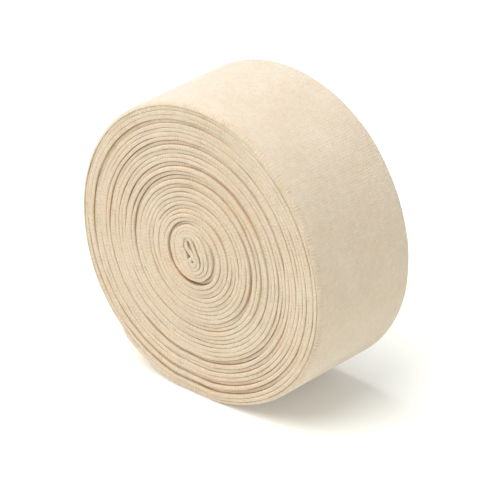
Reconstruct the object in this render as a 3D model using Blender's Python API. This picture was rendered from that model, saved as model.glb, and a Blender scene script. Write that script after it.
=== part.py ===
"""A roll of tubular stockinette: a knitted cotton tube laid flat and wound on itself, with no core.

It stands on the side of its outermost turn. Its axis lies along Y, the end that shows best looks
towards -Y, and +Z is up. Angles go round the axis from +X towards +Z. Metres throughout.
"""

import math
from collections import namedtuple

import bmesh
import bpy

# Driving sizes: the tube laid flat, the turns in the roll, and where the outermost one ends
TUBE_WIDTH = 0.075
TUBE_LENGTH = 10.0
TURNS = 36
TAIL_ANGLE = 230.0
FLAT_HALF_WIDTH = 0.014
RIM_ROUNDING = 0.0035

# The heart of the roll is pushed out towards the front, and its rings sit above the middle. The
# back end follows by this share, because the tube was wound slack there and lies wider.
BACK_SHARE = 0.45
TELESCOPE = 0.010
TELESCOPE_REACH = 0.035
TELESCOPE_SOFTENING = 0.012
HEART_SHIFT_X = 0.0015
HEART_SHIFT_Z = 0.0023
WANDER = 0.00035

# What centres the roll's box on the origin: its axis lies aside, and its rims nearer the front
AXIS_X = -0.0008
RIM_ASIDE = 0.0004

# The mesh: steps round each turn, the innermost turn that is meshed, and the hollow of the heart
STEPS = 54
FIRST_TURN = 1
HEART_HOLLOW = 0.0022
HEART_ASIDE = 0.0012
SHOULDER = 0.001
FLANK_ROWS = 3

# Stretches where the tube sinks below its neighbours on the front end, or stands proud of them.
# The radius is that at the middle of the stretch, which is sweep degrees long.
Stretch = namedtuple("Stretch", "radius middle sweep sink")
STRETCHES = [
    Stretch(radius=0.0150, middle=235, sweep=330, sink=0.0030),
    Stretch(radius=0.0272, middle=48, sweep=60, sink=0.0010),
    Stretch(radius=0.0292, middle=112, sweep=90, sink=0.0016),
    Stretch(radius=0.0306, middle=190, sweep=80, sink=0.0008),
    Stretch(radius=0.0412, middle=350, sweep=80, sink=0.0016),
    Stretch(radius=0.0422, middle=255, sweep=60, sink=0.0010),
    Stretch(radius=0.0469, middle=125, sweep=185, sink=0.0026),
    Stretch(radius=0.0455, middle=270, sweep=120, sink=0.0018),
    Stretch(radius=0.0512, middle=115, sweep=170, sink=-0.0012),
    Stretch(radius=0.0543, middle=85, sweep=230, sink=0.0020),
    Stretch(radius=0.0533, middle=265, sweep=110, sink=0.0014),
    Stretch(radius=0.0667, middle=80, sweep=210, sink=0.0018),
    Stretch(radius=0.0643, middle=290, sweep=150, sink=0.0022),
    Stretch(radius=0.0706, middle=300, sweep=120, sink=0.0014),
    Stretch(radius=0.0775, middle=130, sweep=150, sink=0.0026),
    Stretch(radius=0.0762, middle=275, sweep=150, sink=0.0014),
    Stretch(radius=0.0822, middle=275, sweep=90, sink=0.0016),
]

# The outline is a little out of round: lobes of a given height, one of them pointing at an angle
Lobe = namedtuple("Lobe", "count height angle")
LOBES = [
    Lobe(count=2, height=0.00030, angle=75),
    Lobe(count=3, height=0.00065, angle=94),
    Lobe(count=4, height=0.00040, angle=60),
]

# One turn is the two walls of the flattened tube, and the wound area is length times thickness
TURN_THICKNESS = TUBE_LENGTH / (math.pi * TURNS**2)
MEAN_RADIUS = TURNS * TURN_THICKNESS
LAST_TURN = TURNS - 1


def angle_at(turn):
    """The tube winds outwards clockwise, as seen from the front, and ends at the tail's angle."""
    return math.radians(TAIL_ANGLE) - 2 * math.pi * turn


def part_turn_at(degrees):
    """The share of a turn that is wound when the tube reaches this angle."""
    return (TAIL_ANGLE - degrees) % 360 / 360


def radius_at(turn):
    """The outer side of the tube at this turn coordinate, which runs from 0 to TURNS."""
    return TURN_THICKNESS * (turn + 0.5)


def lobes_at(angle):
    return sum(lobe.height * math.cos(lobe.count * (angle - math.radians(lobe.angle))) for lobe in LOBES)


# The height of the axis over the flat spot, which cuts the outermost turn straight down
RADIUS_DOWN = radius_at(LAST_TURN + part_turn_at(270)) + lobes_at(math.radians(270))
AXIS_HEIGHT = math.sqrt(RADIUS_DOWN**2 - FLAT_HALF_WIDTH**2)


def stretch_ends(stretch):
    """The first and last turn coordinate of a stretch, put on the turn nearest its radius."""
    part_turn = part_turn_at(stretch.middle)
    whole_turns = round((stretch.radius - radius_at(part_turn)) / TURN_THICKNESS)
    half_sweep = stretch.sweep / 720
    return whole_turns + part_turn - half_sweep, whole_turns + part_turn + half_sweep


def sink_at(turn):
    """How far the tube sinks into the front end at this turn coordinate."""
    total = WANDER * (math.sin(3.9 * turn) + math.sin(17.3 * turn + 1)) / 2
    for stretch in STRETCHES:
        first, last = stretch_ends(stretch)
        if first < turn < last:
            total += stretch.sink * math.sin(math.pi * (turn - first) / (last - first)) ** 0.5
    return total


def push_at(radius):
    """How far the turns at this radius were pushed out towards -Y."""
    softened = math.hypot(radius, TELESCOPE_SOFTENING)
    return TELESCOPE * math.exp(-softened / TELESCOPE_REACH)


# The rims lie half a tube width either side of this place along Y
RIM_MIDDLE = push_at(0) / 2 - RIM_ASIDE


def place(radius, angle, y, outline):
    """A point of the roll: out of round, its heart shifted, and settled on the flat spot."""
    share = radius / outline
    reach = outline + lobes_at(angle)
    down = -math.sin(angle)
    settled = min(reach, AXIS_HEIGHT / down) if down > 0 else reach
    radius = radius * (1 + (settled / outline - 1) * share**2)
    x = radius * math.cos(angle) + HEART_SHIFT_X * (1 - share) + AXIS_X
    z = radius * math.sin(angle) + HEART_SHIFT_Z * (1 - share) + AXIS_HEIGHT
    return (x, y, z)


def outline_at(turn):
    """The radius of the outer surface in the direction of this turn coordinate."""
    return radius_at(turn if turn > LAST_TURN else LAST_TURN + turn % 1)


def end_face(mesh, side):
    """The spiral grid of one end, out to the flank's edge: side is -1 at the front, 1 at the back."""

    follow = 1 if side < 0 else BACK_SHARE

    def add(turn, inset, pull):
        radius = radius_at(turn) - inset
        shift = sink_at(turn) if pull == 0 else 0
        y = RIM_MIDDLE + side * (TUBE_WIDTH / 2 - pull) + follow * (shift - push_at(radius))
        return mesh.verts.new(place(radius, angle_at(turn), y, outline_at(turn)))

    first = FIRST_TURN * STEPS
    spiral = {step: add(step / STEPS, 0, 0) for step in range(first, LAST_TURN * STEPS + 1)}
    last_round = range(LAST_TURN * STEPS, (LAST_TURN + 1) * STEPS + 1)
    shoulder_pull = RIM_ROUNDING - math.sqrt(RIM_ROUNDING**2 - (RIM_ROUNDING - SHOULDER) ** 2)
    shoulder = [add(step / STEPS, SHOULDER, shoulder_pull) for step in last_round]
    edge = [add(step / STEPS, 0, RIM_ROUNDING) for step in last_round]

    for step in range(first, (LAST_TURN - 1) * STEPS):
        outer = step + STEPS
        mesh.faces.new((spiral[step], spiral[step + 1], spiral[outer + 1], spiral[outer]))
    inner = [spiral[(LAST_TURN - 1) * STEPS + step] for step in range(STEPS + 1)]
    for low, high in ((inner, shoulder), (shoulder, edge)):
        for step in range(STEPS):
            mesh.faces.new((low[step], low[step + 1], high[step + 1], high[step]))

    heart_y = RIM_MIDDLE + side * (TUBE_WIDTH / 2 - HEART_HOLLOW) - follow * push_at(0)
    heart = mesh.verts.new(place(HEART_ASIDE, math.radians(80), heart_y, MEAN_RADIUS))
    loop = [spiral[step] for step in range(first, first + STEPS + 1)]
    for here, after in zip(loop, loop[1:] + loop[:1]):
        mesh.faces.new((here, after, heart))
    return inner, shoulder, edge


def roll_mesh():
    mesh = bmesh.new()
    front_inner, front_shoulder, front_edge = end_face(mesh, -1)
    back_inner, back_shoulder, back_edge = end_face(mesh, 1)

    rows = [front_edge]
    for row in range(1, FLANK_ROWS + 1):
        share = row / (FLANK_ROWS + 1)
        rows.append([mesh.verts.new(a.co.lerp(b.co, share)) for a, b in zip(front_edge, back_edge)])
    rows.append(back_edge)
    for low, high in zip(rows, rows[1:]):
        for step in range(STEPS):
            mesh.faces.new((low[step], low[step + 1], high[step + 1], high[step]))

    # The cut end of the outermost turn is the step between the thick and the thin side of the seam
    across = [front_inner, front_shoulder] + rows + [back_shoulder, back_inner]
    thick = [line[-1] for line in across]
    thin = [line[0] for line in across]
    mesh.faces.new(thick + thin[::-1])
    return mesh


def cotton():
    material = bpy.data.materials.new("natural_cotton")
    material.use_nodes = True
    shader = material.node_tree.nodes["Principled BSDF"]
    shader.inputs["Base Color"].default_value = (0.76, 0.62, 0.45, 1)
    shader.inputs["Roughness"].default_value = 0.9
    shader.inputs["Metallic"].default_value = 0
    return material


for old in list(bpy.data.objects):
    bpy.data.objects.remove(old)

mesh = roll_mesh()
bmesh.ops.recalc_face_normals(mesh, faces=mesh.faces)
bmesh.ops.triangulate(mesh, faces=mesh.faces, quad_method="SHORT_EDGE")
data = bpy.data.meshes.new("roll")
mesh.to_mesh(data)
mesh.free()
data.materials.append(cotton())
data.shade_smooth()
data.set_sharp_from_angle(angle=math.radians(40))
roll = bpy.data.objects.new("roll", data)
bpy.context.scene.collection.objects.link(roll)
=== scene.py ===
"""The looks of a roll of tubular stockinette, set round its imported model. Metres throughout.

The roll stands on its side with its axis along Y, the end that shows best towards -Y, and Z up.
Angles go round the axis from +X towards +Z.
"""

import math
from collections import namedtuple

import bpy
from mathutils import Matrix, Vector


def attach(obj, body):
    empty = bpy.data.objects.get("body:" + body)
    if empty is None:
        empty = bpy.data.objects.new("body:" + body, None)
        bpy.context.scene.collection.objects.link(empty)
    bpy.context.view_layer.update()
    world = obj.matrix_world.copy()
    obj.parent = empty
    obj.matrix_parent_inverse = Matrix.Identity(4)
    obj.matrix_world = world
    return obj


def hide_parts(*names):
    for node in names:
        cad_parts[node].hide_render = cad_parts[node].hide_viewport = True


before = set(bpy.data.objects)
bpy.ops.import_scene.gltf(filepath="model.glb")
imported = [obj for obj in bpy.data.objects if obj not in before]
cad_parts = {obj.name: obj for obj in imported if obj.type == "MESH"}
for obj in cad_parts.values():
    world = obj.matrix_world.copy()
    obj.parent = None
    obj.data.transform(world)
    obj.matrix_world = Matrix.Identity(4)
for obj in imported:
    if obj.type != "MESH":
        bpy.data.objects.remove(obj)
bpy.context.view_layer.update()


# The heart of the roll
# The start of the knitted cotton tube, wound by hand with no core in it. The free end is curled into
# a knob, the tube runs round that and crosses over to turn back round a small hollow, and the first
# whole turns lie round both as an oval. This is the line that it follows.

TUBE_WIDTH = 0.075
TUBE_LENGTH = 10.0
TURNS = 36
TAIL_ANGLE = math.radians(230)
TURN_THICKNESS = TUBE_LENGTH / (math.pi * TURNS**2)

# The oval of the first turns points along this angle, and sits a little towards it
OVAL_ANGLE = math.radians(107)
OVAL_HEIGHT = 0.0039
OVAL_ASIDE = 0.0021
OVAL_REACH = 0.011
ASIDE_REACH = 0.019

# The S, in millimetres across the oval and along it, from the free end to the first whole turn.
# Its middle lies off the middle of the rings, and it runs into the spiral over the join's turns.
S_MIDDLE = Vector((-0.0007, 0, 0.0023))
S_POINTS = [
    (0.5, -4.5), (-0.7, -4.2), (-1.75, -5.2), (-1.3, -6.8), (0.3, -7.5), (1.8, -6.6), (2.1, -4.6),
    (0.9, -2.2), (-0.6, 0.0), (-1.8, 2.4), (-2.3, 4.8), (-1.8, 6.9), (0.0, 7.9), (1.8, 7.0),
    (2.3, 4.9), (2.6, 2.2), (3.5, -1.0), (4.3, -4.2), (3.9, -7.2), (2.2, -9.2), (-0.2, -9.9),
    (-2.6, -9.2), (-3.9, -7.2), (-4.0, -4.6), (-4.0, -1.6), (-4.6, 1.4),
]
JOIN_TURNS = [3.2, 3.3, 3.4, 3.5, 3.6]


def oval_at(radius, angle):
    """The place of a point of the first turns, from the middle of the rings."""
    height = OVAL_HEIGHT * math.exp(-((radius / OVAL_REACH) ** 2))
    aside = OVAL_ASIDE * math.exp(-((radius / ASIDE_REACH) ** 2))
    reach = radius + height * math.cos(2 * (angle - OVAL_ANGLE))
    x = reach * math.cos(angle) + aside * math.cos(OVAL_ANGLE)
    z = reach * math.sin(angle) + aside * math.sin(OVAL_ANGLE)
    return (x, 0, z)


def heart_points():
    """The points of the S, and then those of the turns that it runs into."""
    upright = Matrix.Rotation(math.radians(90) - OVAL_ANGLE, 3, "Y")
    points = []
    for across, along in S_POINTS:
        points.append(upright @ (Vector((across / 1000, 0, along / 1000)) + S_MIDDLE))
    for turn in JOIN_TURNS:
        points.append(oval_at(turn * TURN_THICKNESS, TAIL_ANGLE - 2 * math.pi * turn))
    return points


heart = heart_points()
guide = bpy.data.meshes.new("heart_guide")
guide.from_pydata(heart, [(i, i + 1) for i in range(len(heart) - 1)], [])


# The wound tube
# One knitted cotton tube without a seam, laid flat to two walls and wound on itself 36 times by
# hand. Each turn shows its folded edge on the ends, and the cut end lies under the roll.

# How deep a folded edge is, how far a turn stands off the next, and how round the rims are. In the
# heart the tube isn't squeezed as flat as further out.
FOLD_DEPTH = 0.00055
TURN_GAP = 0.00008
RIM_ROUNDING = 0.0030
HEART_FULLNESS = 1.03

# A folded edge is flatter than a half circle: the smaller the power, the flatter
CREST_POWER = 0.6
RISE_POWER = 0.8

# Beside a sunk turn the roll opens a little, but not in the heart nor under the outermost turn, and
# the turn sinks less than in the plain solid
EASED = 0.5
OPENED = 0.09
LAST_TURN = TURNS - 1
OPENING_STARTS = 4
OPENING_IS_FULL = 6
OPENING_FADES = LAST_TURN - 0.5
OPENING_ENDS = LAST_TURN - 0.1

# Over these turns the loose and shallow folds of the heart grow even and deep
SETTLING_STARTS = 4.5
SETTLED = 8
HEART_LOOSENESS = 2.2
HEART_FOLD_SHARE = 0.6

# Rows along the tube: more to a turn outside than at the heart. Columns round its flat section.
FIRST_ROW_TURN = 0.2
HEART_STEPS = 60
RIM_STEPS = 140
FOLD_COLUMNS = 6
WALL_COLUMNS = 5
MOUTH_ROWS = 3
MERGE_DISTANCE = 0.0000003

# The slit that closes a cut end: its share of the tube's thickness, how much narrower it is, and
# how many turns it goes in at the heart and at the outer end
SLIT_THICKNESS = 0.15
SLIT_NARROWING = 0.0006
HEART_SLIT_DEPTH = 0.2
OUTER_SLIT_DEPTH = 0.004

# How the turns were pushed out of line, as in the CAD solid
BACK_SHARE = 0.45
TELESCOPE = 0.010
TELESCOPE_REACH = 0.035
TELESCOPE_SOFTENING = 0.012
HEART_SHIFT_X = 0.0015
HEART_SHIFT_Z = 0.0023
WANDER = 0.00035
SLOW_WANDER = 3.9
QUICK_WANDER = 17.3
AXIS_X = -0.0008
RIM_ASIDE = 0.0004
FLAT_HALF_WIDTH = 0.014
RIM_MIDDLE = TELESCOPE * math.exp(-TELESCOPE_SOFTENING / TELESCOPE_REACH) / 2 - RIM_ASIDE

# Stretches where the tube sinks below its neighbours on the front end, or stands proud of them.
# The radius is that at the middle of the stretch, which is sweep degrees long.
Stretch = namedtuple("Stretch", "radius middle sweep sink")
STRETCHES = [
    Stretch(radius=0.0196, middle=225, sweep=350, sink=0.0034),
    Stretch(radius=0.0272, middle=48, sweep=60, sink=0.0010),
    Stretch(radius=0.0292, middle=112, sweep=90, sink=0.0016),
    Stretch(radius=0.0306, middle=190, sweep=80, sink=0.0008),
    Stretch(radius=0.0412, middle=350, sweep=80, sink=0.0016),
    Stretch(radius=0.0422, middle=255, sweep=60, sink=0.0010),
    Stretch(radius=0.0469, middle=125, sweep=185, sink=0.0026),
    Stretch(radius=0.0455, middle=270, sweep=120, sink=0.0018),
    Stretch(radius=0.0512, middle=115, sweep=170, sink=-0.0012),
    Stretch(radius=0.0543, middle=85, sweep=230, sink=0.0020),
    Stretch(radius=0.0533, middle=265, sweep=110, sink=0.0014),
    Stretch(radius=0.0667, middle=80, sweep=210, sink=0.0018),
    Stretch(radius=0.0643, middle=300, sweep=170, sink=0.0028),
    Stretch(radius=0.0706, middle=300, sweep=120, sink=0.0014),
    Stretch(radius=0.0775, middle=130, sweep=150, sink=0.0016),
    Stretch(radius=0.0762, middle=275, sweep=150, sink=0.0014),
    Stretch(radius=0.0822, middle=275, sweep=90, sink=0.0016),
    Stretch(radius=0.0862, middle=95, sweep=80, sink=0.0007),
]

# Where the folds are pressed so close that the furrows between them nearly close, by this share
Pressed = namedtuple("Pressed", "first_turn last_turn middle share")
PRESSED_PLACES = [
    Pressed(first_turn=28.5, last_turn=36.5, middle=100, share=0.65),
    Pressed(first_turn=7.0, last_turn=13.0, middle=35, share=0.85),
]
PRESS_RAMP = 1.5

# What the hand left uneven. A ripple has so many waves to the metre of tube, starts at its own place
# in the noise, and has a height: in metres where a fold leans or the roll opens, in turns at the
# cut, and otherwise a share of the unevenness or of the fold's depth.
Ripple = namedtuple("Ripple", "waves start height")
FRONT_LONG = Ripple(waves=2.2, start=5, height=1)
FRONT_MIDDLE = Ripple(waves=17, start=11, height=0.7)
FRONT_SHORT = Ripple(waves=65, start=17, height=0.45)
BACK_LONG = Ripple(waves=2.2, start=7, height=1)
BACK_MIDDLE = Ripple(waves=17, start=13, height=0.7)
BACK_SHORT = Ripple(waves=65, start=19, height=0.45)
LEAN_LONG = Ripple(waves=28, start=31, height=0.0012)
LEAN_SHORT = Ripple(waves=80, start=37, height=0.0007)
OPENING_RIPPLE = Ripple(waves=9, start=43, height=0.0007)
OPENING_LEVEL = 0.02
FOLD_RIPPLE = Ripple(waves=5, start=61, height=1.2)
CUT_RIPPLE = Ripple(waves=2.2, start=71, height=0.008)

# The outline is a little out of round: lobes of a given height, one of them pointing at an angle
Lobe = namedtuple("Lobe", "count height angle")
LOBES = [
    Lobe(count=2, height=0.00030, angle=math.radians(75)),
    Lobe(count=3, height=0.00065, angle=math.radians(94)),
    Lobe(count=4, height=0.00040, angle=math.radians(60)),
]


def part_turn_at(angle):
    """The share of a turn that is wound when the tube reaches this angle."""
    return (TAIL_ANGLE - angle) % (2 * math.pi) / (2 * math.pi)


def lobes_at(angle):
    return sum(lobe.height * math.cos(lobe.count * (angle - lobe.angle)) for lobe in LOBES)


# The height of the axis over the flat spot, which only directions that point down enough can reach
DOWN = math.radians(270)
RADIUS_DOWN = TURN_THICKNESS * (LAST_TURN + part_turn_at(DOWN) + 0.5) + lobes_at(DOWN)
AXIS_HEIGHT = math.sqrt(RADIUS_DOWN**2 - FLAT_HALF_WIDTH**2)
DOWN_ENOUGH = 0.2

# A hair's breadth, in turns, that keeps the very end of the tube on the high side of its own step
STEP_SIDE = 0.00001


class Value:
    """A number inside a node tree, written like any other: each operation places a Math node."""

    def __init__(self, socket):
        self.socket = socket
        self.tree = socket.id_data

    def calc(self, operation, *others):
        node = self.tree.nodes.new("ShaderNodeMath")
        node.operation = operation
        for value, entry in zip((self, *others), node.inputs):
            if isinstance(value, Value):
                self.tree.links.new(value.socket, entry)
            else:
                entry.default_value = value
        return Value(node.outputs[0])

    def __add__(self, other):
        return self.calc("ADD", other)

    def __sub__(self, other):
        return self.calc("SUBTRACT", other)

    def __mul__(self, other):
        return self.calc("MULTIPLY", other)

    def __truediv__(self, other):
        return self.calc("DIVIDE", other)

    def __pow__(self, other):
        return self.calc("POWER", other)

    def __neg__(self):
        return self * -1

    def __rsub__(self, other):
        return self * -1 + other

    __radd__ = __add__
    __rmul__ = __mul__

    def between(self, low, high, at_low=0, at_high=1):
        """An even ramp from at_low, where this value is low, to at_high, held beyond both."""
        node = self.tree.nodes.new("ShaderNodeMapRange")
        self.tree.links.new(self.socket, node.inputs["Value"])
        ramp = {"From Min": low, "From Max": high, "To Min": at_low, "To Max": at_high}
        for name, number in ramp.items():
            node.inputs[name].default_value = number
        return Value(node.outputs["Result"])


def place_node(tree, kind, links=None, **settings):
    """A node of this kind, with its settings made and its inputs linked or set by name."""
    node = tree.nodes.new(kind)
    for name, setting in settings.items():
        setattr(node, name, setting)
    for name, value in (links or {}).items():
        value = value.socket if isinstance(value, Value) else value
        if isinstance(value, bpy.types.NodeSocket):
            tree.links.new(value, node.inputs[name])
        else:
            node.inputs[name].default_value = value
    return node


def blunt(value, power):
    """A sine or cosine that leaves zero faster, so that a fold is flatter than a half circle."""
    return value.calc("SIGN") * value.calc("ABSOLUTE") ** power


def store_map(tree, mesh, name, place):
    """The mesh with this place kept at each of its corners, as a map of this name."""
    return place_node(
        tree,
        "GeometryNodeStoreNamedAttribute",
        {"Geometry": mesh, "Name": name, "Value": place.outputs[0]},
        data_type="FLOAT2",
        domain="CORNER",
    )


def stretch_group():
    """How far the tube sinks at this turn, if it lies in one stretch of it."""
    tree = bpy.data.node_groups.new("sunk stretch", "GeometryNodeTree")
    for name in ("Turn", "First", "Last", "Sink"):
        tree.interface.new_socket(name, in_out="INPUT", socket_type="NodeSocketFloat")
    tree.interface.new_socket("Shift", in_out="OUTPUT", socket_type="NodeSocketFloat")
    entry = tree.nodes.new("NodeGroupInput")
    turn, first, last, sink = (Value(entry.outputs[name]) for name in ("Turn", "First", "Last", "Sink"))
    along = ((turn - first) / (last - first)).calc("MAXIMUM", 0).calc("MINIMUM", 1)
    shift = sink * (along * math.pi).calc("SINE").calc("MAXIMUM", 0).calc("SQRT")
    result = tree.nodes.new("NodeGroupOutput")
    tree.links.new(shift.socket, result.inputs["Shift"])
    return tree


# What the modifier is given, in the order of the tree's inputs
SIZES = {
    "Tube width": TUBE_WIDTH,
    "Turn thickness": TURN_THICKNESS,
    "Fold depth": FOLD_DEPTH,
    "Gap": TURN_GAP,
    "Rim rounding": RIM_ROUNDING,
    "Unevenness": 0.0006,
    "Seed": 4.0,
}

# The square map that the finish is baked on: its side in metres, and where things lie on it, as
# shares of that side. Both ends lie flat on it, the outermost turn in two strips below them, and
# the walls that are hidden between the turns in the corner that is left.
BAKE_SIDE = 0.364
OUTER_LENGTH = 2 * math.pi * TURNS * TURN_THICKNESS
FRONT_DISC_U = 0.25
BACK_DISC_U = 0.75
DISC_V = 0.75
STRIP_U = 0.005
STRIP_V = 0.02
SECOND_STRIP_UP = 0.24
HIDDEN_U = 0.8
HIDDEN_V = 0.01
HIDDEN_WIDTH = 0.19
HIDDEN_HEIGHT = 0.47


def wound_tube_tree(material):
    """The whole tube as one grid: its rows run across the tube, its columns run along it."""
    tree = bpy.data.node_groups.new("wound tube", "GeometryNodeTree")
    tree.interface.new_socket("Heart", in_out="INPUT", socket_type="NodeSocketGeometry")
    for name in SIZES:
        tree.interface.new_socket(name, in_out="INPUT", socket_type="NodeSocketFloat")
    tree.interface.new_socket("Tube", in_out="OUTPUT", socket_type="NodeSocketGeometry")
    entry = tree.nodes.new("NodeGroupInput")
    width, thickness, fold, gap, rounding, uneven, seed = (Value(entry.outputs[name]) for name in SIZES)

    def noise(along, ripple):
        """The ripple's noise along this value, from -0.5 to 0.5."""
        place = along * ripple.waves + seed + ripple.start
        node = place_node(
            tree, "ShaderNodeTexNoise", {"W": place, "Scale": 1, "Detail": 1}, noise_dimensions="1D"
        )
        return Value(node.outputs[0]) - 0.5

    # The rows: how many there are follows from the steps round the first turn and round the last
    growth = (RIM_STEPS - HEART_STEPS) / (2 * TURNS)
    first_row = HEART_STEPS * FIRST_ROW_TURN + growth * FIRST_ROW_TURN**2
    steps = HEART_STEPS * TURNS + growth * TURNS**2 - first_row
    wound_rows = int(steps)
    rows = wound_rows + 2 * MOUTH_ROWS
    half = FOLD_COLUMNS + WALL_COLUMNS
    columns = 2 * half
    grid = place_node(
        tree,
        "GeometryNodeMeshGrid",
        {"Size X": 1, "Size Y": 1, "Vertices X": rows + 1, "Vertices Y": columns + 1},
    )
    here = tree.nodes.new("GeometryNodeInputPosition")
    split = place_node(tree, "ShaderNodeSeparateXYZ", {"Vector": here.outputs[0]})
    row = (Value(split.outputs["X"]) + 0.5) * rows
    column = (Value(split.outputs["Y"]) + 0.5) * columns

    # The section: a fold in front, the outer wall, a fold behind and the inner wall
    front_bend = column.between(0, FOLD_COLUMNS, -math.pi / 2, math.pi / 2)
    bend = front_bend + column.between(half, half + FOLD_COLUMNS, 0, math.pi)
    outer_travel = column.between(FOLD_COLUMNS, half, 0, 2)
    travel = outer_travel + column.between(half + FOLD_COLUMNS, columns, 0, 2)
    wall = 1 - (travel - 2).calc("ABSOLUTE")
    crest = blunt(bend.calc("COSINE"), CREST_POWER)
    rise = blunt(bend.calc("SINE"), RISE_POWER)

    # At both cut ends the two walls turn in to a shallow slit, which closes the mesh
    at_end = (row - (rows - MOUTH_ROWS)).calc("MAXIMUM", 0)
    at_start = (MOUTH_ROWS - row).calc("MAXIMUM", 0)
    mouth = at_end + at_start
    uncut = mouth.calc("LESS_THAN", 0.5)
    still_open = mouth.calc("LESS_THAN", MOUTH_ROWS - 0.5)
    thinned = uncut * (1 - SLIT_THICKNESS) + still_open * SLIT_THICKNESS
    narrowed = mouth.calc("GREATER_THAN", 0.5) * SLIT_NARROWING
    start_depth = at_start.calc("GREATER_THAN", 0.5) * HEART_SLIT_DEPTH
    end_depth = at_end.calc("GREATER_THAN", 0.5) * OUTER_SLIT_DEPTH
    inwards = mouth.calc("GREATER_THAN", 1.5) * (start_depth - end_depth)

    # How many turns are wound at this row. The last rows follow the cut, which is a little uneven.
    counted = (row - MOUTH_ROWS).calc("MAXIMUM", 0).calc("MINIMUM", wound_rows)
    reached = counted * (steps / wound_rows) + first_row
    root = (reached * (4 * growth) + HEART_STEPS**2).calc("SQRT")
    turn = (root - HEART_STEPS) * (1 / (2 * growth)) + inwards
    at_cut = (row - (rows - MOUTH_ROWS - 1)).calc("GREATER_THAN", 0.5)
    turn = turn + noise(wall, CUT_RIPPLE) * at_cut * CUT_RIPPLE.height
    angle = TAIL_ANGLE - turn * (2 * math.pi)
    arc = turn * turn * thickness * math.pi

    def rippled(ripple):
        return noise(arc, ripple) * ripple.height

    # How far each ring was pushed out towards the front, and how far it sinks below the others
    middle_radius = thickness * (turn + 0.5)
    softened = (middle_radius * middle_radius + TELESCOPE_SOFTENING**2).calc("SQRT")
    push = (softened * (-1 / TELESCOPE_REACH)).calc("EXPONENT") * TELESCOPE
    stretch_tree = stretch_group()
    sinks = []
    for stretch in STRETCHES:
        part_turn = part_turn_at(math.radians(stretch.middle))
        whole_turns = round((stretch.radius - TURN_THICKNESS * (part_turn + 0.5)) / TURN_THICKNESS)
        middle = whole_turns + part_turn
        half_sweep = stretch.sweep / 720
        ends = {"First": middle - half_sweep, "Last": middle + half_sweep, "Sink": stretch.sink}
        node = place_node(tree, "GeometryNodeGroup", {"Turn": turn, **ends}, node_tree=stretch_tree)
        sinks.append(Value(node.outputs["Shift"]))
    sunk = sum(sinks)

    # The ideal radius of each point: folds lean aside, and the roll opens beside a sunk turn
    leaning = (rippled(LEAN_LONG) + rippled(LEAN_SHORT)) * crest.calc("ABSOLUTE") * uncut
    radius = thickness * turn + rise * thinned * (thickness - gap) * 0.5 + leaning
    by_chance = (noise(arc, OPENING_RIPPLE) - OPENING_LEVEL).calc("MAXIMUM", 0) * OPENING_RIPPLE.height
    opening = sunk.calc("MAXIMUM", 0) * OPENED + by_chance
    opening = opening * turn.between(OPENING_STARTS, OPENING_IS_FULL)
    last_stays = turn.between(OPENING_FADES, OPENING_ENDS, 1, 0)
    radius = radius - opening * rise.calc("MAXIMUM", 0) * uncut * last_stays
    outline = thickness * ((turn - STEP_SIDE).calc("FRACT") + (LAST_TURN + 0.5 + STEP_SIDE))

    # The place of the two folds along Y, with the rims rounded off, and of each point between them
    depth = (rounding - (outline - radius)).calc("MAXIMUM", 0).calc("MINIMUM", rounding)
    pull = rounding - (rounding * rounding - depth * depth).calc("MAXIMUM", 0).calc("SQRT")
    wandering = (turn * SLOW_WANDER).calc("SINE") + (turn * QUICK_WANDER + 1).calc("SINE")
    sink = sunk * EASED + wandering * (WANDER / 2)
    loose = turn.between(SETTLING_STARTS, SETTLED, HEART_LOOSENESS, 1)
    front_rough = rippled(FRONT_LONG) + rippled(FRONT_MIDDLE) * loose + rippled(FRONT_SHORT)
    back_rough = rippled(BACK_LONG) + rippled(BACK_MIDDLE) + rippled(BACK_SHORT)
    front = pull + sink - push + front_rough * uneven * 2 + RIM_MIDDLE - width * 0.5
    back = (sink - push) * BACK_SHARE - pull + back_rough * uneven * 2 + RIM_MIDDLE + width * 0.5
    deep = turn.between(SETTLING_STARTS, SETTLED, HEART_FOLD_SHARE, 1) * (rippled(FOLD_RIPPLE) + 1) * fold
    for pressed in PRESSED_PLACES:
        reached_there = turn.between(pressed.first_turn, pressed.first_turn + PRESS_RAMP)
        still_there = turn.between(pressed.last_turn - PRESS_RAMP, pressed.last_turn, 1, 0)
        facing = (angle - math.radians(pressed.middle)).calc("COSINE").calc("MAXIMUM", 0)
        deep = deep * (1 - reached_there * still_there * facing * pressed.share)
    y = (front + back) * 0.5 + wall * ((back - front) * 0.5 - deep - narrowed) - crest * deep

    # The roll's own outline: lobes, the flat spot, the oval heart and the rings' shifted middle
    share = radius / outline
    reach = outline
    for lobe in LOBES:
        reach = reach + (angle * lobe.count - lobe.count * lobe.angle).calc("COSINE") * lobe.height
    down = (-angle.calc("SINE")).calc("MAXIMUM", DOWN_ENOUGH)
    settled = reach.calc("MINIMUM", down**-1 * AXIS_HEIGHT)
    radius = radius * (1 + (settled / outline - 1) * share * share)
    height = (-(radius * (1 / OVAL_REACH)) ** 2).calc("EXPONENT") * OVAL_HEIGHT
    aside = (-(radius * (1 / ASIDE_REACH)) ** 2).calc("EXPONENT") * OVAL_ASIDE
    reach = radius + height * (angle * 2 - 2 * OVAL_ANGLE).calc("COSINE")
    x = reach * angle.calc("COSINE") + aside * math.cos(OVAL_ANGLE)
    z = reach * angle.calc("SINE") + aside * math.sin(OVAL_ANGLE)

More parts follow.
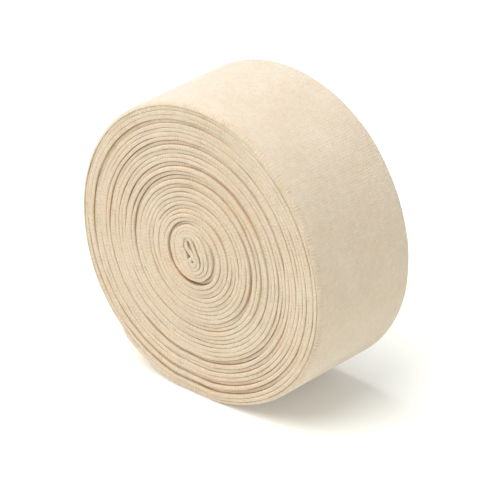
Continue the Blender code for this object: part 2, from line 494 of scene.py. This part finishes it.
    # The heart is read off its guide, and runs into the spiral before the guide ends
    curve = place_node(tree, "GeometryNodeMeshToCurve", {"Mesh": entry.outputs["Heart"]})
    curve = place_node(
        tree, "GeometryNodeCurveSplineType", {"Curve": curve.outputs[0]}, spline_type="CATMULL_ROM"
    )
    curve = place_node(
        tree, "GeometryNodeSetSplineResolution", {"Geometry": curve.outputs[0], "Resolution": 16}
    )
    along = (turn * (1 / JOIN_TURNS[-1])) ** 2
    sample = place_node(
        tree,
        "GeometryNodeSampleCurve",
        {"Curves": curve.outputs[0], "Factor": along.calc("MINIMUM", 1)},
        mode="FACTOR",
        use_all_curves=True,
    )
    spot = place_node(tree, "ShaderNodeSeparateXYZ", {"Vector": sample.outputs["Position"]})
    way = place_node(tree, "ShaderNodeSeparateXYZ", {"Vector": sample.outputs["Tangent"]})
    off_line = (radius - thickness * turn) * HEART_FULLNESS
    heart_x = Value(spot.outputs["X"]) - Value(way.outputs["Z"]) * off_line
    heart_z = Value(spot.outputs["Z"]) + Value(way.outputs["X"]) * off_line
    joined = turn.between(JOIN_TURNS[1], JOIN_TURNS[3])
    x = heart_x + (x - heart_x) * joined + (1 - share) * HEART_SHIFT_X + AXIS_X
    z = heart_z + (z - heart_z) * joined + (1 - share) * HEART_SHIFT_Z + AXIS_HEIGHT
    placed = place_node(tree, "ShaderNodeCombineXYZ", {"X": x, "Y": y, "Z": z})

    # The stitches' own map, in metres: along the tube, and round it from the front fold
    across = bend * fold + travel * (width * 0.5 - fold)
    knit = place_node(tree, "ShaderNodeCombineXYZ", {"X": arc, "Y": across})
    named = store_map(tree, grid.outputs["Mesh"], "knit", knit)

    # The map for baking. Its regions are chosen face by face, so that no face is torn across two.
    def on_faces(value):
        node = place_node(
            tree, "GeometryNodeFieldOnDomain", {"Value": value}, data_type="FLOAT", domain="FACE"
        )
        return Value(node.outputs[0])

    face_column = on_faces(column)
    face_turn = on_faces(turn)
    full = on_faces(mouth).calc("LESS_THAN", 0.1)
    in_front = face_column.calc("LESS_THAN", FOLD_COLUMNS) * full
    past_half = face_column.calc("GREATER_THAN", half)
    behind = past_half * face_column.calc("LESS_THAN", half + FOLD_COLUMNS) * full
    on_top = face_column.calc("GREATER_THAN", FOLD_COLUMNS) * face_column.calc("LESS_THAN", half)
    on_top = on_top * face_turn.calc("GREATER_THAN", LAST_TURN) * full
    hidden = 1 - in_front - behind - on_top
    second = face_turn.calc("GREATER_THAN", LAST_TURN + 0.5)
    strip_u = (turn - LAST_TURN - second * 0.5) * (OUTER_LENGTH / BAKE_SIDE) + STRIP_U
    strip_v = (wall + 1) * (width * (0.5 / BAKE_SIDE)) + STRIP_V + second * SECOND_STRIP_UP
    disc_u = x * (1 / BAKE_SIDE)
    disc_v = (z - AXIS_HEIGHT) * (1 / BAKE_SIDE) + DISC_V
    u = in_front * (disc_u + FRONT_DISC_U) + behind * (BACK_DISC_U - disc_u) + on_top * strip_u
    u = u + hidden * (column * (HIDDEN_WIDTH / columns) + HIDDEN_U)
    v = (in_front + behind) * disc_v + on_top * strip_v
    v = v + hidden * (row * (HIDDEN_HEIGHT / rows) + HIDDEN_V)
    flat = place_node(tree, "ShaderNodeCombineXYZ", {"X": u, "Y": v})
    named = store_map(tree, named.outputs[0], "OFBake", flat)

    moved = place_node(
        tree, "GeometryNodeSetPosition", {"Geometry": named.outputs[0], "Position": placed.outputs[0]}
    )
    closed = place_node(
        tree, "GeometryNodeMergeByDistance", {"Geometry": moved.outputs[0], "Distance": MERGE_DISTANCE}
    )
    smooth = place_node(tree, "GeometryNodeSetShadeSmooth", {"Geometry": closed.outputs[0]})
    real = place_node(tree, "GeometryNodeRealizeInstances", {"Geometry": smooth.outputs[0]})
    finished = place_node(
        tree, "GeometryNodeSetMaterial", {"Geometry": real.outputs[0], "Material": material}
    )
    result = tree.nodes.new("NodeGroupOutput")
    tree.links.new(finished.outputs[0], result.inputs[0])
    return tree


# The stitches: courses follow each other along the tube, wales lie side by side across it, and the
# loops of a folded edge are drawn open like the rungs of a ladder
COURSE_PITCH = 0.0017
WALE_PITCH = 0.0013
LADDER_PITCH = 0.0021
COTTON_SHADE = (0.49, 0.375, 0.245, 1)
COTTON_LIGHT = (0.70, 0.597, 0.465, 1)

# The rungs show on the fold and fade out beside it, between these distances from its middle
RUNGS_FADE = 0.0006
RUNGS_END = 0.0012

# Painted shade: the cloth between the turns is made darker and warmer, as shade and warm bounced light
# make it. This deep in the furrow it starts, and is in full.
CREVICE_PAINTED_SHADE = (0.86, 0.65, 0.43, 1)
CREVICE_STARTS = 0.00055
CREVICE_IS_FULL = 0.0020
PAINTED_SHADE_ON_FOLD = 0.14

# The marks of spinning and knitting, and the patches of the painted shade: how many there are to the
# metre, and how finely they break up
Mark = namedtuple("Mark", "scale detail")
PULLS = Mark(scale=180, detail=2)
FIBRES = Mark(scale=1100, detail=2)
SLUBS = Mark(scale=330, detail=3)
CLOUDS = Mark(scale=55, detail=3)
RUNG_PATCHES = Mark(scale=140, detail=2)
SHADE_PATCHES = Mark(scale=28, detail=2)
PATCH_LEAST = 0.15
PULL = 6

# The sockets of a Mix node that mixes colours
MIX_A = 6
MIX_B = 7
MIX_RESULT = 2


def cotton_knit():
    """Unbleached cotton jersey: its wales run along the tube, and its loops show as fine grain. Shade is
    painted on it between the turns and on the folded edges.
    """
    material = bpy.data.materials.new("natural_cotton_knit")
    material.use_nodes = True
    tree = material.node_tree
    shader = tree.nodes["Principled BSDF"]
    shader.inputs["Roughness"].default_value = 0.95
    shader.inputs["Specular IOR Level"].default_value = 0.15
    shader.inputs["Sheen Weight"].default_value = 0.3
    shader.inputs["Sheen Roughness"].default_value = 0.6
    shader.inputs["Subsurface Weight"].default_value = 0.5
    shader.inputs["Subsurface Radius"].default_value = (1, 0.6, 0.35)
    shader.inputs["Subsurface Scale"].default_value = 0.0015

    knit = place_node(tree, "ShaderNodeUVMap", uv_map="knit")
    split = place_node(tree, "ShaderNodeSeparateXYZ", {"Vector": knit.outputs[0]})
    along = Value(split.outputs["X"])
    across = Value(split.outputs["Y"])
    position = place_node(tree, "ShaderNodeTexCoord").outputs["Object"]

    def noise(mark):
        settings = {"Vector": position, "Scale": mark.scale, "Detail": mark.detail}
        return Value(place_node(tree, "ShaderNodeTexNoise", settings).outputs[0])

    # Rows of loops, pulled a little out of line, with thick and thin places in the yarn
    pulled = noise(PULLS) * PULL
    wale = (across * (2 * math.pi / WALE_PITCH) + pulled).calc("COSINE")
    slant = (across * (math.pi / WALE_PITCH)).calc("SINE").calc("ABSOLUTE") * 2
    loop = (along * (2 * math.pi / COURSE_PITCH) + slant + pulled).calc("SINE")
    grain = noise(FIBRES) - 0.5
    slub = noise(SLUBS) - 0.5
    cloud = noise(CLOUDS) - 0.5

    # How far a point is off the nearer folded edge, and the rungs that show there in patches
    back_fold = math.pi * FOLD_DEPTH + TUBE_WIDTH - 2 * FOLD_DEPTH
    off_fold = across.calc("ABSOLUTE").calc("MINIMUM", (across - back_fold).calc("ABSOLUTE"))
    on_fold = off_fold.between(RUNGS_FADE, RUNGS_END, 1, 0)
    patches = noise(RUNG_PATCHES).between(0.38, 0.62, PATCH_LEAST, 1)
    ladder = (along * (2 * math.pi / LADDER_PITCH) + pulled * 1.2).calc("SINE") * on_fold * patches
    height = wale * 0.25 + loop * 0.35 + grain * 1.6 + slub * 1.6 + ladder * 0.8
    bump = place_node(tree, "ShaderNodeBump", {"Height": height, "Distance": 0.00016, "Strength": 0.7})
    tree.links.new(bump.outputs[0], shader.inputs["Normal"])

    tone = loop * 0.04 + wale * 0.02 + ladder * 0.12 + grain * 0.6 + slub * 0.5 + cloud * 0.4 + 0.5
    # The folded edges are mixed a little darker and warmer than the walls: painted shade for the ends,
    # which get less light and warm bounce
    mix = place_node(tree, "ShaderNodeMix", {"Factor": tone - on_fold * 0.1}, data_type="RGBA")
    mix.inputs[MIX_A].default_value = COTTON_SHADE
    mix.inputs[MIX_B].default_value = COTTON_LIGHT

    # The painted shade between the turns, dark and warm, in patches. It leaves out the outermost turn,
    # which no other turn covers.
    faded = noise(SHADE_PATCHES).between(0.40, 0.60, PATCH_LEAST, 1)
    covered = along.calc("LESS_THAN", math.pi * TURN_THICKNESS * LAST_TURN**2)
    crevice_shade = off_fold.between(CREVICE_STARTS, CREVICE_IS_FULL, PAINTED_SHADE_ON_FOLD, 1) * faded * covered
    shade_mix = place_node(
        tree, "ShaderNodeMix", {"Factor": crevice_shade}, data_type="RGBA", blend_type="MULTIPLY"
    )
    tree.links.new(mix.outputs[MIX_RESULT], shade_mix.inputs[MIX_A])
    shade_mix.inputs[MIX_B].default_value = CREVICE_PAINTED_SHADE
    tree.links.new(shade_mix.outputs[MIX_RESULT], shader.inputs["Base Color"])
    return material


host = bpy.data.objects.new("heart_guide", guide)
bpy.context.scene.collection.objects.link(host)
winding = host.modifiers.new("winding", "NODES")
winding.node_group = wound_tube_tree(cotton_knit())
for item in winding.node_group.interface.items_tree:
    if item.item_type == "SOCKET" and item.in_out == "INPUT" and item.name in SIZES:
        winding[item.identifier] = SIZES[item.name]
depsgraph = bpy.context.evaluated_depsgraph_get()
tube_mesh = bpy.data.meshes.new_from_object(
    host.evaluated_get(depsgraph), preserve_all_data_layers=True, depsgraph=depsgraph
)
bpy.data.objects.remove(host)
tube = bpy.data.objects.new("wound_tube", tube_mesh)
bpy.context.scene.collection.objects.link(tube)
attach(tube, "root")
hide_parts("roll")


# The floor and the light
# A plain pale floor under an even white sky, with one large soft lamp up on the left. The floor
# glows a little, which keeps the shadow pale.

FLOOR_REACH = 6
FLOOR_COLOUR = (0.80, 0.785, 0.71, 1)
FLOOR_GLOW = 0.17
SKY_COLOUR = (0.91, 0.955, 1, 1)
SKY_STRENGTH = 0.62
LAMP_DIRECTION = Vector((-0.20, -0.36, 1.0))
LAMP_SPREAD = math.radians(64)
LAMP_ENERGY = 3.7
LAMP_COLOUR = (0.95, 0.97, 1)

paint = bpy.data.materials.new("floor_white")
paint.use_nodes = True
coat = paint.node_tree.nodes["Principled BSDF"].inputs
coat["Base Color"].default_value = FLOOR_COLOUR
coat["Roughness"].default_value = 0.9
coat["Emission Color"].default_value = (1, 1, 1, 1)
coat["Emission Strength"].default_value = FLOOR_GLOW

floor_mesh = bpy.data.meshes.new("floor")
corners = [
    (-FLOOR_REACH, -FLOOR_REACH, 0),
    (FLOOR_REACH, -FLOOR_REACH, 0),
    (FLOOR_REACH, FLOOR_REACH, 0),
    (-FLOOR_REACH, FLOOR_REACH, 0),
]
floor_mesh.from_pydata(corners, [], [(0, 1, 2, 3)])
floor_mesh.materials.append(paint)
floor = bpy.data.objects.new("floor", floor_mesh)
bpy.context.scene.collection.objects.link(floor)

sky = bpy.data.worlds.new("white_sky")
sky.use_nodes = True
sky.node_tree.nodes["Background"].inputs["Color"].default_value = SKY_COLOUR
sky.node_tree.nodes["Background"].inputs["Strength"].default_value = SKY_STRENGTH
bpy.context.scene.world = sky
bpy.context.scene.view_settings.view_transform = "Standard"

lamp_data = bpy.data.lights.new("soft_lamp", "SUN")
lamp_data.angle = LAMP_SPREAD
lamp_data.energy = LAMP_ENERGY
lamp_data.color = LAMP_COLOUR
lamp = bpy.data.objects.new("soft_lamp", lamp_data)
lamp.matrix_world = LAMP_DIRECTION.to_track_quat("Z", "Y").to_matrix().to_4x4()
bpy.context.scene.collection.objects.link(lamp)


# The camera
# Far back with a long lens, as the photograph was taken. Its place is worked out from the outline.

CAMERA_AZIMUTH = math.radians(41.77)
CAMERA_ELEVATION = math.radians(27.54)
CAMERA_DISTANCE = 2.2
CAMERA_RIGHT = 0.00342
CAMERA_UP = -0.01016
SENSOR_WIDTH = 36
FOCAL_PIXELS = 4002.0
PICTURE_PIXELS = 500

level = math.cos(CAMERA_ELEVATION)
forth_x = math.sin(CAMERA_AZIMUTH) * level
forth_y = -math.cos(CAMERA_AZIMUTH) * level
forth = Vector((forth_x, forth_y, math.sin(CAMERA_ELEVATION)))
right = Vector((math.cos(CAMERA_AZIMUTH), math.sin(CAMERA_AZIMUTH), 0))
up = forth.cross(right)
seen = Vector((AXIS_X, RIM_MIDDLE, AXIS_HEIGHT))
stand = seen + right * CAMERA_RIGHT + up * CAMERA_UP + forth * CAMERA_DISTANCE
lens = bpy.data.cameras.new("camera")
lens.sensor_width = SENSOR_WIDTH
lens.sensor_fit = "HORIZONTAL"
lens.lens = FOCAL_PIXELS / PICTURE_PIXELS * SENSOR_WIDTH
camera = bpy.data.objects.new("camera", lens)
aimed = Matrix((right, up, forth)).transposed().to_4x4()
camera.matrix_world = Matrix.Translation(stand) @ aimed
bpy.context.scene.collection.objects.link(camera)
bpy.context.scene.camera = camera
